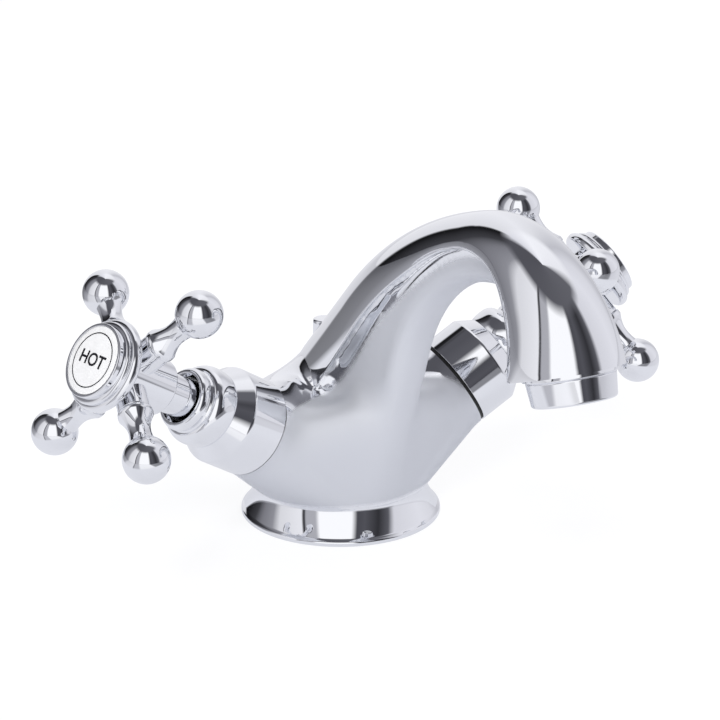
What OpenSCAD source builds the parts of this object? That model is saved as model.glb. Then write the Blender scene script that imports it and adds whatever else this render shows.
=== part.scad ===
// Monobloc basin mixer with two cross handles, chrome-plated brass, in millimetres.
// The foot's underside is z = 0, the spout points to -Y, hot is at -X and cold at +X.
// An arm is drawn once for the +X side, along its own axis, and mirrored for the hot side.

/* [Foot] */
// Diameter of the foot where it stands on the basin
foot_d = 56; // [52:0.5:60]
// Height of the foot's vertical rim
foot_rim = 1.2; // [0.8:0.1:2]
// Height from the basin to the waist above the flare
foot_h = 10; // [8:0.5:12]
// Diameter of the waist
waist_d = 47.5; // [46:0.5:50]
// Width of the rubber seal let into the underside
foot_seal_w = 4; // [3:0.5:5]
// Thickness of that seal
foot_seal_t = 2; // [1.5:0.25:3]

/* [Fixing and inlets] */
// Diameter of the fixing stud's threaded hole
stud_d = 8; // [6:0.5:9]
// Depth of that hole
stud_depth = 16; // [12:1:20]
// Distance of the stud forward of the foot's centre
stud_fwd = 14; // [13:0.5:15]
// Diameter of the threaded hole for a tail, M10 fine
inlet_d = 10; // [9:0.5:11]
// Depth of that thread
inlet_depth = 12; // [9:0.5:13]
// Distance between the two tails
inlet_pitch = 17; // [15:0.5:19]
// Height of the mixing chamber above the point where the arm axes meet
mixing_up = 27; // [24:1:29]
// Distance of the mixing chamber forward of that point
mixing_fwd = 7; // [5:0.5:9]
// Diameter of the waterways in the arms
waterway_d = 7.5; // [6:0.5:8]

/* [Arms] */
// Height above the basin at which the two arm axes meet
arm_z = 12.8; // [11.5:0.1:14]
// Distance of that point behind the foot's centre, negative is towards the spout
arm_y = -2; // [-4:0.5:0]
// Upward tilt of the arms in degrees
arm_tilt = 31.5; // [29:0.5:34]
// Forward turn of the arms in degrees
arm_yaw = 8; // [5:0.5:11]
// Distance along the axis from that point to the boss's face
boss_at = 38.5; // [37:0.5:42]
// Diameter of the boss
boss_d = 26.8; // [26:0.2:28]
// Diameter of the valve thread, half inch BSP
valve_thread_d = 20.9; // [20:0.1:21.5]
// Depth of the valve's bore in the boss
valve_bore_len = 14; // [13.5:0.5:16]

/* [Spout] */
// Distance of the crest's lower end behind the foot's centre
crest_y = 23.2; // [22:0.2:24.5]
// Height of the crest's lower end
crest_z = 36.2; // [34:0.2:38]
// Slope of the straight rise in degrees
rise_angle = 45; // [43:0.5:47]
// Length of the straight rise
rise_len = 50; // [46:1:54]
// Radius of the long curve of the back
back_r = 125; // [115:1:135]
// Slope in degrees at which the back turns into the crown
crown_angle = 15; // [13:0.5:17]
// Radius of the crown and the fall to the outlet
crown_r = 41; // [39:0.5:43]
// Forward tilt of the outlet in degrees from straight down
outlet_tilt = 18; // [15:0.5:21]
// Half the spout's width at its root
root_half_w = 12.5; // [11.5:0.1:13.5]
// Half the spout's width at its narrowest, on the crown
crown_half_w = 10.2; // [9.5:0.1:11.5]
// Half the spout's width at the outlet
outlet_half_w = 15.7; // [15:0.1:17]
// Depth of the spout's rounded section at its root
root_depth = 20; // [18:0.5:22]
// Depth of that section on the crown
crown_depth = 8.6; // [7.5:0.1:10]
// Depth of that section at the outlet
outlet_depth = 17; // [16:0.5:19]
// Thickness of the spout's wall where it is hollow underneath
spout_wall = 3; // [2.5:0.25:4]
// Thickness of the web at its rounded front edge
web_t = 13; // [12:0.5:14]
// Thickness of the web where it meets the spout low down
web_back_t = 17.6; // [15:0.2:19]
// Slope of the web's straight front edge in degrees
nose_angle = 72; // [70:0.5:74]
// Height at which that edge turns into the arch
nose_z = 55; // [53:0.5:57]
// Radius of the arch under the spout
arch_r = 47.8; // [46:0.2:49]
// Diameter of the waterway in the spout
channel_d = 8; // [6:0.5:8.5]

/* [Outlet] */
// Distance from the crest to the middle of the outlet
outlet_inset = 12.7; // [12.3:0.1:13.5]
// Diameter of the aerator's thread
aerator_thread_d = 20; // [19:0.1:20.4]
// Depth of the thread in the spout
aerator_bore_len = 9; // [8:0.5:10]
// Height of the round collar below the spout's end
collar_h = 1; // [0.6:0.1:1.4]
// Wall of that collar round the thread
collar_wall = 1.9; // [1.6:0.1:2.2]
// Wall of the thread's boss at its upper end, inside the spout
boss_wall = 0.6; // [0.5:0.1:0.8]
// Diameter of the aerator's visible skirt at the collar
skirt_d = 22.2; // [21.5:0.1:23]
// Diameter of the skirt at its mouth
skirt_mouth_d = 21; // [20.4:0.1:21.4]
// Height of the skirt
skirt_h = 6.4; // [5:0.2:8]
// Wall of the aerator's housing
aerator_wall = 1.2; // [0.8:0.1:1.5]

/* [Shroud] */
// Thickness of the dark seal between boss and shroud
seal_t = 1; // [0.8:0.1:1.5]
// Diameter of the shroud's straight skirt
shroud_d = 26.8; // [26:0.2:28]
// Length of the straight skirt
shroud_straight = 10.6; // [9:0.2:12]
// Length of the cone above it
shroud_cone = 4.4; // [3.5:0.1:5.5]
// Diameter at the top of the cone
cone_top_d = 20.8; // [20:0.2:22]
// Diameter of the large bead
bead_d = 21.8; // [21:0.2:23]
// Length of the large bead
bead_len = 7.4; // [6.5:0.1:8]
// Diameter of the upper bead
rim_d = 17.2; // [16.4:0.2:18]
// Length of the upper bead
rim_len = 3.2; // [2.6:0.1:4]
// Diameter of the cup's mouth round the handle's neck
cup_d = 13.8; // [13.4:0.1:14.4]
// Depth of the cup
cup_depth = 6; // [5:0.5:6.5]
// Wall of the shroud's skirt
shroud_wall = 1.4; // [1.2:0.1:1.8]
// Diameter of the thread that holds the shroud on the valve
shroud_thread_d = 13.2; // [12.6:0.1:13.4]

/* [Valve] */
// Width across the flats of the valve's hexagon
hex_af = 20; // [18:0.5:20.5]
// Height of the hexagon
hex_h = 4; // [3:0.5:5]
// Diameter of the spindle
spindle_d = 8.8; // [8:0.1:9]
// Diameter of the spindle's end in the handle
spline_d = 7.6; // [7:0.1:8]
// Diameter of the ceramic discs
disc_d = 15; // [14:0.5:15.5]
// Thickness of each ceramic disc
disc_t = 2.5; // [2:0.25:3]
// Thickness of the seat washer under the valve
seat_washer_t = 1.5; // [1:0.25:2]

/* [Handle] */
// Gap from the shroud's mouth to the back of the hub
hub_gap = 8.4; // [7:0.2:10]
// Length of the hub
hub_len = 17.2; // [16:0.2:18]
// Diameter of the hub
hub_d = 15.2; // [14.8:0.2:16]
// Diameter of the hub's neck
neck_d = 10.8; // [10.2:0.1:11.2]
// Distance from the back of the hub to the plane of the arms
cross_at = 11.6; // [11:0.2:12.2]
// Radius from the axis to the middle of a ball
ball_reach = 27.5; // [25:0.5:31]
// Diameter of a ball
ball_d = 12.4; // [11:0.2:13.4]
// Diameter of an arm's flared root
root_d = 9.2; // [8.6:0.1:9.8]
// Diameter of an arm's waist
arm_waist_d = 5.8; // [5:0.1:6.6]
// Height of the rounded rim at that root
root_rim = 1.4; // [1:0.1:2]
// Radius at which the arm meets the hub's boss
root_at = 12.4; // [12:0.1:13.2]
// Turn of the hot handle at rest in degrees
hot_rest = -51; // [-90:1:0]
// Turn of the cold handle at rest in degrees
cold_rest = -30; // [-90:1:0]

/* [Index cap] */
// Diameter of the cap's flange
flange_d = 25; // [24:0.2:26.4]
// Thickness of the flange's bead
flange_t = 3; // [2.6:0.1:3.4]
// Diameter of the step in front of the flange
step_d = 22; // [21.4:0.1:23]
// Diameter of the bezel round the disc
bezel_d = 20; // [19.6:0.1:20.8]
// Height of the cap from the hub to the bezel's front
cap_h = 6.2; // [5.6:0.1:7]
// Diameter of the white index disc
index_d = 18.2; // [17.4:0.1:18.6]
// Thickness of the index disc
index_t = 1.3; // [1:0.1:1.6]

/* [Pop-up rod] */
// Distance of the lift rod behind the foot's centre
rod_y = 8.5; // [8:0.5:10]
// Diameter of the lift rod
rod_d = 4; // [3:0.5:4.5]
// Diameter of the knob
knob_d = 6.4; // [6:0.2:7]
// Height of the knob's top above the basin when it is pushed down
knob_top = 54; // [52.5:0.5:58]
// Height of the knob
knob_h = 6.6; // [5.5:0.2:7]
// Travel of the rod
rod_travel = 20; // [10:1:25]

/* [Fits] */
// Radial clearance of a thread or a push fit
thread_gap = 0.05; // [0.03:0.01:0.1]
// Radial clearance of a turning fit
run_gap = 0.06; // [0.03:0.01:0.1]
// Clearance between pieces that move past each other
move_gap = 0.3; // [0.25:0.05:0.5]
// Height of the lift rod's lower end above the basin
rod_lift_off = 1; // [0.5:0.5:3]

/* [Hidden] */
$fn = 64;
hull_fn = 32;
chrome = "silver";
brass = "goldenrod";
plastic = "gainsboro";
rubber = "dimgray";
white = "white";
SIDES = ["hot", "cold"];

// Crest of the spout in the middle plane: a straight rise, a long arc and a tight arc.
// A heading of 0 runs to -Y and 90 runs up; inward is the side towards the arch.
function ahead(a) = [-cos(a), sin(a)];
function inward(a) = [-sin(a), -cos(a)];
back_len = back_r * (rise_angle - crown_angle) * PI / 180;
end_angle = outlet_tilt - 90;
crown_len = crown_r * (crown_angle - end_angle) * PI / 180;
crest_len = rise_len + back_len + crown_len;
rise_end = [crest_y, crest_z] + rise_len * ahead(rise_angle);
back_c = rise_end + back_r * inward(rise_angle);
back_end = back_c - back_r * inward(crown_angle);
crown_c = back_end + crown_r * inward(crown_angle);
function heading(s) = s < rise_len ? rise_angle
    : s < rise_len + back_len ? rise_angle - (s - rise_len) / back_r * 180 / PI
    : crown_angle - (s - rise_len - back_len) / crown_r * 180 / PI;
function crest(s) = s < rise_len ? [crest_y, crest_z] + s * ahead(rise_angle)
    : s < rise_len + back_len ? back_c - back_r * inward(heading(s))
    : crown_c - crown_r * inward(heading(s));
// A point of the section at s: x across, d below the crest
function spot(s, x, d) = let(c = crest(s) + d * inward(heading(s))) [x, c[0], c[1]];

// Smooth run through evenly spaced values, for the section's sizes along the crest
function at(v, i) = v[max(0, min(len(v) - 1, i))];
function run(v, t) = let(u = t * (len(v) - 1), i = min(len(v) - 2, floor(u)), q = u - i,
    a = at(v, i - 1), b = at(v, i), c = at(v, i + 1), e = at(v, i + 2))
    (2 * b + (c - a) * q + (2 * a - 5 * b + 4 * c - e) * q * q
        + (3 * b - a - 3 * c + e) * q * q * q) / 2;
function mix(a, b, k) = a + (b - a) * k;
half_w = [root_half_w, mix(root_half_w, crown_half_w, 0.1), mix(root_half_w, crown_half_w, 0.15),
    mix(root_half_w, crown_half_w, 0.3), mix(root_half_w, crown_half_w, 0.55), crown_half_w,
    mix(crown_half_w, outlet_half_w, 0.1), mix(crown_half_w, outlet_half_w, 0.55), outlet_half_w];
depth = [root_depth, mix(root_depth, crown_depth, 0.15), mix(root_depth, crown_depth, 0.3),
    mix(root_depth, crown_depth, 0.5), mix(root_depth, crown_depth, 0.72), crown_depth,
    mix(crown_depth, outlet_depth, 0.1), mix(crown_depth, outlet_depth, 0.64), outlet_depth];
hollow = [0, 0, 0, 0, 0, 0.7, 1, 0.6, 0];

// A tube skinned over closed rings of equal length; the end caps fan out from point c
function skin_faces(n, m, c) = concat(
    [[for (j = [m:-1:1]) (j + c) % m]], [[for (j = [0:m - 1]) (n - 1) * m + (j + c) % m]],
    [for (i = [0:n - 2], j = [0:m - 1]) [i * m + j, i * m + (j + 1) % m, (i + 1) * m + j]],
    [for (i = [0:n - 2], j = [0:m - 1])
        [i * m + (j + 1) % m, (i + 1) * m + (j + 1) % m, (i + 1) * m + j]]);
module skin(rings, c)
    polyhedron([for (ring = rings) each ring], skin_faces(len(rings), len(rings[0]), c), 4);

// Outline of the spout at s: a half ellipse over a vaulted underside
top_steps = 18;
vault_steps = 8;
function spout_ring(s) = let(t = s / crest_len, w = run(half_w, t), h = run(depth, t),
    k = run(hollow, t)) concat(
    [for (i = [0:top_steps]) let(a = -90 + 180 * i / top_steps)
        spot(s, w * sin(a), h * (1 - cos(a)))],
    [for (i = [1:vault_steps - 1]) let(a = 90 - 180 * i / vault_steps)
        spot(s, (w - k * spout_wall) * sin(a), h - k * (h - spout_wall) * cos(a))]);
spout_steps = 28;
module spout_band() skin([for (i = [0:spout_steps]) spout_ring(crest_len * i / spout_steps)], top_steps / 2);

// Front edge of the web: a straight line up from the waist, an arch, and a fall inside the spout
nose_foot = [-waist_d / 2 - 0.2, foot_h];
nose_end = nose_foot + (nose_z - foot_h) / sin(nose_angle) * ahead(nose_angle);
arch_c = nose_end + arch_r * inward(nose_angle);
arch_end = -10;
function nose(t) = t < 1 ? mix(nose_foot, nose_end, t)
    : t < 2 ? arch_c - arch_r * inward(mix(nose_angle, arch_end, t - 1))
    : mix(arch_c - arch_r * inward(arch_end), mouth_point, t - 2);
mouth_point = crest(crest_len - 1) + (outlet_inset + 1) * inward(end_angle);
arch_crest = crest_len - crown_r * (arch_end - end_angle) * PI / 180;
function nose_crest(t) = crest(t < 1 ? mix(2, rise_len, t)
    : t < 2 ? mix(rise_len, arch_crest, t - 1) : mix(arch_crest, crest_len - 1, t - 2));
// Outline of the web: a round nose, flat sides and a top inside the spout's wall
nose_steps = 8;
function web_ring(t) = let(n = nose(t), c = nose_crest(t), e = (c - n) / norm(c - n),
    q = min(1, max(0, t - 1)), r = web_t / 2, b = mix(web_back_t, web_t, q) / 2,
    top = c - 2 * e, eave = c - mix(8, 4.2, q) * e) concat(
    [[-b, eave[0], eave[1]], [-r / 2, top[0], top[1]], [r / 2, top[0], top[1]], [b, eave[0], eave[1]]],
    [for (i = [0:nose_steps]) let(a = 180 * i / nose_steps, p = n + r * (1 - sin(a)) * e)
        [r * cos(a), p[0], p[1]]]);
web_steps = 18;
module web() skin([for (i = [0:web_steps]) web_ring(3 * i / web_steps)], 1);

// Places
module on_arm() translate([0, arm_y, arm_z]) rotate([0, 90 - arm_tilt, -arm_yaw]) children();
arm_dir = [cos(arm_tilt) * cos(arm_yaw), -cos(arm_tilt) * sin(arm_yaw), sin(arm_tilt)];
function on_axis(s) = [0, arm_y, arm_z] + s * arm_dir;
module side(hot) { if (hot) mirror([1, 0, 0]) children(); else children(); }
outlet = spot(crest_len, 0, outlet_inset);
module at_outlet() translate(outlet) rotate([180 - outlet_tilt, 0, 0]) children();
function to_world(z) = outlet + z * [0, -sin(outlet_tilt), -cos(outlet_tilt)];

// A round bar between two points
module bar(p, q, d) {
    v = q - p;
    translate(p) rotate([0, acos(v[2] / norm(v)), atan2(v[1], v[0])]) cylinder(d = d, h = norm(v));
}

// Body
bow_low = 4;
bow_high = 28;
saddle_high = 22;
saddle_angle = 24;
saddle_mid = [8, -5, 33];
saddle_ball_d = 9;
rim_ball_d = 6;
cut_run = 10;
module waist_disc() translate([0, 0, foot_h - 2]) cylinder(d = waist_d - 0.3, h = 1.7, $fn = 64);
module boss_disc() on_arm() translate([0, 0, boss_at - 3.2])
    cylinder(d = boss_d - 0.6, h = 2.4, $fn = hull_fn);
module nose_ball(z) translate([0, nose_foot[0] - z / tan(nose_angle) + web_t / 2, foot_h + z])
    sphere(d = web_t - 0.4, $fn = hull_fn);
// A ball just inside the rim of the arm's end, an angle up from its front
module rim_ball(a) let(r = (boss_d - 0.6 - rim_ball_d) / 2)
    on_arm() translate([-r * sin(a), -r * cos(a), boss_at - 1 - rim_ball_d / 2])
        sphere(d = rim_ball_d, $fn = hull_fn);
// The flank has a ridge from the arm's rim to the web's front edge, and a saddle behind it
module bow() hull() {
    waist_disc();
    for (a = [-75, -40, -5, 28]) rim_ball(a);
    nose_ball(bow_low);
    nose_ball(bow_high);
}
module saddle() hull() {
    waist_disc();
    rim_ball(saddle_angle);
    nose_ball(saddle_high);
    translate(saddle_mid) sphere(d = saddle_ball_d, $fn = hull_fn);
}
module shoulder() hull() {
    boss_disc();
    waist_disc();
    skin([for (s = [0.3, 9]) [for (p = spout_ring(s)) [p[0] * 0.97, p[1] - 0.3, p[2] - 0.3]]], 9);
}
// Radius of the foot's flare at height z
function flare(z) = let(q = (foot_h - z) / (foot_h - foot_rim))
    mix(waist_d, foot_d - 0.8, pow(q, 1.7)) / 2;
flare_steps = 10;
module foot() rotate_extrude() polygon(concat(
    [[0, 0], [foot_d / 2, 0], [foot_d / 2, foot_rim]],
    [for (i = [0:flare_steps]) let(z = mix(foot_rim, foot_h, i / flare_steps)) [flare(z), z]],
    [[0, foot_h]]));
valve_floor = boss_at - valve_bore_len;
mixing = [0, arm_y - mixing_fwd, arm_z + mixing_up];
module waterways() {
    for (m = [0, 1]) mirror([m, 0, 0]) {
        translate([inlet_pitch / 2, inlet_y, -1]) cylinder(d = inlet_d, h = inlet_depth + 1);
        translate([inlet_pitch / 2, inlet_y, 0])
            cylinder(d = waterway_d, h = on_axis(feed_at)[2]);
        on_arm() translate([0, 0, feed_at - 1]) cylinder(d = waterway_d, h = valve_floor - feed_at + 2);
        on_arm() translate([0, 0, valve_floor]) cylinder(d = valve_thread_d, h = valve_bore_len + 1);
        bar(on_axis(valve_floor + 5), mixing, waterway_d - 1.5);
    }
    for (i = [0:len(CHANNEL) - 2]) bar(CHANNEL[i], CHANNEL[i + 1], channel_d);
    for (i = [0:len(CHANNEL) - 2]) translate(CHANNEL[i]) sphere(d = channel_d + 0.6);
}
// The waterway feeds the arm where the arm's axis passes over the tail's hole
feed_at = inlet_pitch / 2 / arm_dir[0];
inlet_y = on_axis(feed_at)[1];
// The spout's waterway bends in the web, halfway between crest and nose
function mid_web(t) = let(p = (nose(t) + nose_crest(t)) / 2) [0, p[0], p[1]];
CHANNEL = [mixing, mid_web(1), mid_web(1.6), mid_web(2), to_world(-aerator_bore_len - 8),
    to_world(-aerator_bore_len + 1)];
seal_r = foot_d / 2 - 3.5;
module body() color(chrome) difference() {
    union() {
        foot();
        spout_band();
        web();
        for (m = [0, 1]) mirror([m, 0, 0]) {
            bow();
            saddle();
            shoulder();
            on_arm() translate([0, 0, boss_at - 6]) cylinder(d = boss_d, h = 6);
        }
        at_outlet() translate([0, 0, -aerator_bore_len - 3])
            cylinder(d1 = aerator_thread_d + 2 * boss_wall, d2 = aerator_thread_d + 2 * collar_wall,
                h = aerator_bore_len + 3 + collar_h);
    }
    waterways();
    at_outlet() translate([0, 0, -aerator_bore_len])
        cylinder(d = aerator_thread_d, h = aerator_bore_len + collar_h + 1);
    translate([0, -stud_fwd, -1]) cylinder(d = stud_d, h = stud_depth + 1);
    translate([0, rod_y, -1]) cylinder(d = rod_d + 2 * move_gap, h = knob_top + cut_run);
    translate([0, rod_y, knob_top - knob_h - move_gap])
        cylinder(d = knob_d + 2 * move_gap, h = knob_h + cut_run);
    translate([0, 0, -1]) difference() {
        cylinder(r = seal_r + thread_gap, h = foot_seal_t + 1);
        translate([0, 0, -1]) cylinder(r = seal_r - foot_seal_w - thread_gap, h = foot_seal_t + 3);
    }
}

module ring(ro, ri, h) difference() {
    cylinder(r = ro, h = h);
    translate([0, 0, -1]) cylinder(r = ri, h = h + 2);
}
module foot_seal() color(rubber) ring(seal_r, seal_r - foot_seal_w, foot_seal_t);

// Aerator, drawn along the outlet's axis with z = 0 in the outlet's plane
housing_r = aerator_thread_d / 2 - thread_gap;
bore_r = housing_r - aerator_wall;
washer_t = 1;
housing_in = aerator_bore_len - washer_t;
lip = 0.8;
skirt_end = collar_h + skirt_h;
module aerator_housing() color(chrome) at_outlet() rotate_extrude() polygon([
    [bore_r, -housing_in], [housing_r, -housing_in], [housing_r, collar_h],
    [skirt_d / 2 - 0.3, collar_h], [skirt_d / 2, collar_h + 0.4],
    [skirt_mouth_d / 2, skirt_end - 0.4], [skirt_mouth_d / 2 - 0.4, skirt_end],
    [bore_r - lip, skirt_end], [bore_r - lip, skirt_end - 1], [bore_r, skirt_end - 1]]);
module aerator_washer() color(rubber) at_outlet() translate([0, 0, -aerator_bore_len])
    ring(housing_r - 0.1, housing_r - 2.6, washer_t);
mesh_t = 1;
insert_r = bore_r - thread_gap;
module aerator_insert() color(plastic) at_outlet() difference() {
    translate([0, 0, -housing_in]) cylinder(r = insert_r, h = housing_in + skirt_end - 1 - mesh_t);
    translate([0, 0, -housing_in + 3]) cylinder(r = insert_r - 1.4, h = housing_in + skirt_end);
    for (i = [0:7]) rotate(45 * i) translate([insert_r - 3.6, 0, -housing_in - 1])
        cylinder(d = 2, h = 6);
}
// Holes of the mesh in rings of 6 and 12 round a middle one
module aerator_mesh() color(plastic) at_outlet() difference() {
    translate([0, 0, skirt_end - 1 - mesh_t]) cylinder(r = insert_r, h = mesh_t);
    for (k = [0:2], i = [0:max(0, 6 * k - 1)]) rotate(k == 0 ? 0 : 360 / (6 * k) * i)
        translate([k * insert_r * 0.33, 0, skirt_end - 3]) cylinder(d = insert_r * 0.24, h = 4);
}

// Lift rod of the pop-up waste
module lift_rod() color(chrome) translate([0, rod_y, rod_lift_off])
    cylinder(d = rod_d, h = knob_top - 2.4 - rod_lift_off);
module lift_knob() color(chrome) translate([0, rod_y, knob_top - knob_h]) difference() {
    rotate_extrude() polygon(concat([[0, 0], [knob_d / 2 - 0.5, 0], [knob_d / 2, 0.5]],
        [for (i = [0:6]) let(a = 15 * i)
            [knob_d / 2 - 1.2 + 1.2 * cos(a), knob_h - 1.2 + 1.2 * sin(a)]], [[0, knob_h]]));
    translate([0, 0, -1]) cylinder(d = rod_d, h = knob_h - 2.4 + 1);
}

// Shroud, drawn along the arm's axis
shroud_at = boss_at + seal_t;
cone_at = shroud_at + shroud_straight;
bead_at = cone_at + shroud_cone;
rim_at = bead_at + bead_len;
mouth_at = rim_at + rim_len;
cup_floor = mouth_at - cup_depth;
land_at = cone_at + 1;
// Rounded bead from (r0, s0) to (r1, s1) with its largest radius r at share k of the way
function bead(r0, s0, r1, s1, r, k = 0.5, n = 8) = let(m = mix(s0, s1, k)) [for (i = [0:n])
    let(a = -90 + 180 * i / n) a < 0 ? [mix(r0, r, cos(a)), mix(m, s0, -sin(a))]
        : [mix(r1, r, cos(a)), mix(m, s1, sin(a))]];
module shroud_profile() polygon(concat(
    [[shroud_d / 2 - shroud_wall, shroud_at], [shroud_d / 2 - 0.3, shroud_at],
        [shroud_d / 2, shroud_at + 0.3], [shroud_d / 2, cone_at]],
    bead(cone_top_d / 2, bead_at, rim_d / 2, rim_at - 0.4, bead_d / 2),
    [[rim_d / 2 - 0.3, rim_at]],
    [for (i = [0:6]) let(a = 15 * i)
        [mix(cup_d, rim_d, 0.25) / 2 + (rim_d - cup_d) / 2 * 0.75 * cos(a),
            mouth_at - 2 + 2 * sin(a)]],
    [[cup_d / 2, mouth_at - 0.4], [cup_d / 2, cup_floor],
        [shroud_thread_d / 2 + thread_gap, cup_floor], [shroud_thread_d / 2 + thread_gap, land_at],
        [shroud_d / 2 - shroud_wall, land_at]]));
module shroud() color(chrome) on_arm() rotate_extrude() shroud_profile();
module shroud_seal() color(rubber) on_arm() translate([0, 0, boss_at])
    ring(shroud_d / 2 - 0.4, shroud_d / 2 - shroud_wall - 0.4, seal_t);

// Valve: a threaded brass body with two ceramic discs, a spindle and its seals
valve_in = valve_floor + seat_washer_t;
hex_top = boss_at + hex_h;
valve_top = cup_floor - 0.5;
spindle_r = spindle_d / 2;
disc_at = valve_in + 1.5;
spindle_foot = disc_at + 2 * disc_t;
module valve_body() color(brass) on_arm() difference() {
    union() {
        translate([0, 0, valve_in]) cylinder(d = valve_thread_d - 2 * thread_gap, h = boss_at - valve_in);
        translate([0, 0, boss_at]) cylinder(d = hex_af / cos(30), h = hex_h, $fn = 6);
        translate([0, 0, hex_top - 0.5])
            cylinder(d = shroud_thread_d, h = valve_top - hex_top + 0.5);
    }
    // Gallery round the side windows, water inlet, disc chamber and spindle bore
    translate([0, 0, disc_at]) ring(valve_thread_d, disc_d / 2 + 1.2, 5);
    translate([0, 0, valve_in - 1]) cylinder(d = waterway_d, h = 3);
    translate([0, 0, disc_at]) cylinder(d = disc_d + 2 * run_gap, h = 2 * disc_t + 3 + run_gap);
    translate([0, 0, disc_at]) cylinder(r = spindle_r + run_gap, h = valve_top);
    for (a = [0, 180]) rotate(a) translate([0, 0, disc_at + disc_t])
        rotate([0, 90, 0]) cylinder(d = 4, h = valve_thread_d);
}
module seat_washer() color(rubber) on_arm() translate([0, 0, valve_floor])
    ring(valve_thread_d / 2 - 1, waterway_d / 2 + 0.5, seat_washer_t);
// Each disc has two kidney-like ports, drilled as round holes
module ceramic_disc(z, turn) color(white) on_arm() translate([0, 0, z]) rotate(turn) difference() {
    cylinder(d = disc_d, h = disc_t);
    for (a = [0, 180]) rotate(a) translate([disc_d / 4, 0, -1]) cylinder(d = disc_d / 3.4, h = disc_t + 2);
}
module fixed_disc() ceramic_disc(disc_at, 0);
module moving_disc(turn) ceramic_disc(disc_at + disc_t, turn);
groove_at = hex_top + 2;
clip_at = valve_top + run_gap;
clip_t = 0.8;
module spindle() color(brass) on_arm() difference() {
    union() {
        translate([0, 0, spindle_foot]) cylinder(d = disc_d, h = 3 - run_gap);
        translate([0, 0, spindle_foot])
            cylinder(r = spindle_r, h = clip_at + clip_t + move_gap - spindle_foot);
        translate([0, 0, clip_at]) cylinder(d = spline_d, h = spline_end - clip_at);
    }
    translate([0, 0, groove_at]) ring(spindle_r + 1, spindle_r - 1.2, 2);
    translate([0, 0, clip_at]) ring(spindle_r + 1, spindle_r - 0.8, clip_t);
    translate([0, 0, spline_end - 8]) cylinder(d = screw_d + 2 * thread_gap, h = 9);
}
module spindle_seal() color(rubber) on_arm() translate([0, 0, groove_at])
    ring(spindle_r + run_gap / 2, spindle_r - 1.2, 2);
module spindle_clip() color(brass) on_arm() translate([0, 0, clip_at]) difference() {
    ring(spindle_r + 1.2, spindle_r - 0.8, clip_t);
    translate([0, -1.5, -1]) cube([spindle_d, 3, 3]);
}

// Handle: hub with neck, four arms, screw, index cap and disc
hub_back = mouth_at + hub_gap;
hub_front = hub_back + hub_len;
cross_s = hub_back + cross_at;
neck_in = clip_at + clip_t + 2 * move_gap;
spline_end = hub_back + 7;
screw_d = 4;
screw_head_d = 7;
recess_d = 9;
recess_at = hub_front - 6;
hub_boss_d = root_d - 0.6;
stud_r = root_at - 4;
module hub(turn) color(chrome) on_arm() rotate(turn) difference() {
    union() {
        translate([0, 0, hub_back]) cylinder(d = hub_d, h = hub_len);
        translate([0, 0, neck_in]) cylinder(d = neck_d, h = hub_back - neck_in + 1);
        for (k = [0:3]) rotate(90 * k) translate([0, 0, cross_s]) rotate([0, 90, 0])
            cylinder(d = hub_boss_d, h = root_at);
    }
    translate([0, 0, neck_in - 1]) cylinder(d = spline_d + 2 * thread_gap, h = spline_end - neck_in + 1);
    translate([0, 0, spline_end - 1]) cylinder(d = screw_d + 2 * thread_gap, h = hub_len);
    translate([0, 0, recess_at]) cylinder(d = recess_d, h = hub_len);
    for (k = [0:3]) rotate(90 * k) translate([0, 0, cross_s]) rotate([0, 90, 0])
        translate([0, 0, stud_r]) cylinder(d = screw_d + 2 * thread_gap, h = root_at);
}
module handle_screw(turn) color(brass) on_arm() rotate(turn) difference() {
    union() {
        translate([0, 0, spline_end - 7]) cylinder(d = screw_d, h = recess_at - spline_end + 8);
        translate([0, 0, recess_at]) cylinder(d = screw_head_d, h = 2.4);
    }
    translate([-screw_head_d, -0.5, recess_at + 1.4]) cube([2 * screw_head_d, 1, 2]);
}
// One arm, along +Z from the axis: threaded end, flared root, waist and ball
waist_at = mix(root_at, ball_reach, 0.42);
neck_z = ball_reach - sqrt(pow(ball_d / 2, 2) - pow(arm_waist_d / 2 + 0.5, 2));
module cross_arm() {
    rotate_extrude() polygon(concat(
        [[0, stud_r + 0.3], [screw_d / 2, stud_r + 0.3], [screw_d / 2, root_at],
            [root_d / 2 - 0.4, root_at], [root_d / 2, root_at + 0.5], [root_d / 2, root_at + root_rim]],
        [for (i = [1:6]) let(t = i / 6) [mix(arm_waist_d, root_d, pow(1 - t, 1.8)) / 2,
            mix(root_at + root_rim, waist_at, t)]],
        [for (i = [1:4]) let(t = i / 4) [arm_waist_d / 2 + 0.5 * t * t, mix(waist_at, neck_z, t)]],
        [[0, ball_reach]]));
    translate([0, 0, ball_reach]) sphere(d = ball_d);
}
module handle_arm(turn, k) color(chrome) on_arm() rotate(turn + 180 + 90 * k)
    translate([0, 0, cross_s]) rotate([0, 90, 0]) cross_arm();
plug_at = recess_at + 3;
cap_back = hub_front;
cap_front = hub_front + cap_h;
disc_floor = cap_front - index_t + 0.1;
module index_cap() color(chrome) on_arm() difference() {
    rotate_extrude() polygon(concat(
        [[0, plug_at], [recess_d / 2 - thread_gap, plug_at], [recess_d / 2 - thread_gap, cap_back]],
        bead(flange_d / 2 - 1, cap_back, step_d / 2, cap_back + flange_t, flange_d / 2),
        bead(step_d / 2, cap_back + flange_t + 0.2, bezel_d / 2, cap_back + flange_t + 1.4,
            step_d / 2 + 0.2, 0.4, 4),
        [[bezel_d / 2, cap_front - 0.5], [bezel_d / 2 - 0.4, cap_front],
            [0, cap_front]]));
    translate([0, 0, disc_floor]) cylinder(d = index_d + 2 * thread_gap, h = cap_h);
}
module index_disc() color(white) on_arm() translate([0, 0, disc_floor]) rotate_extrude()
    polygon([[0, 0], [index_d / 2, 0], [index_d / 2, index_t - 0.5], [index_d / 2 - 0.6, index_t - 0.15],
        [index_d / 4, index_t], [0, index_t]]);

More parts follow.
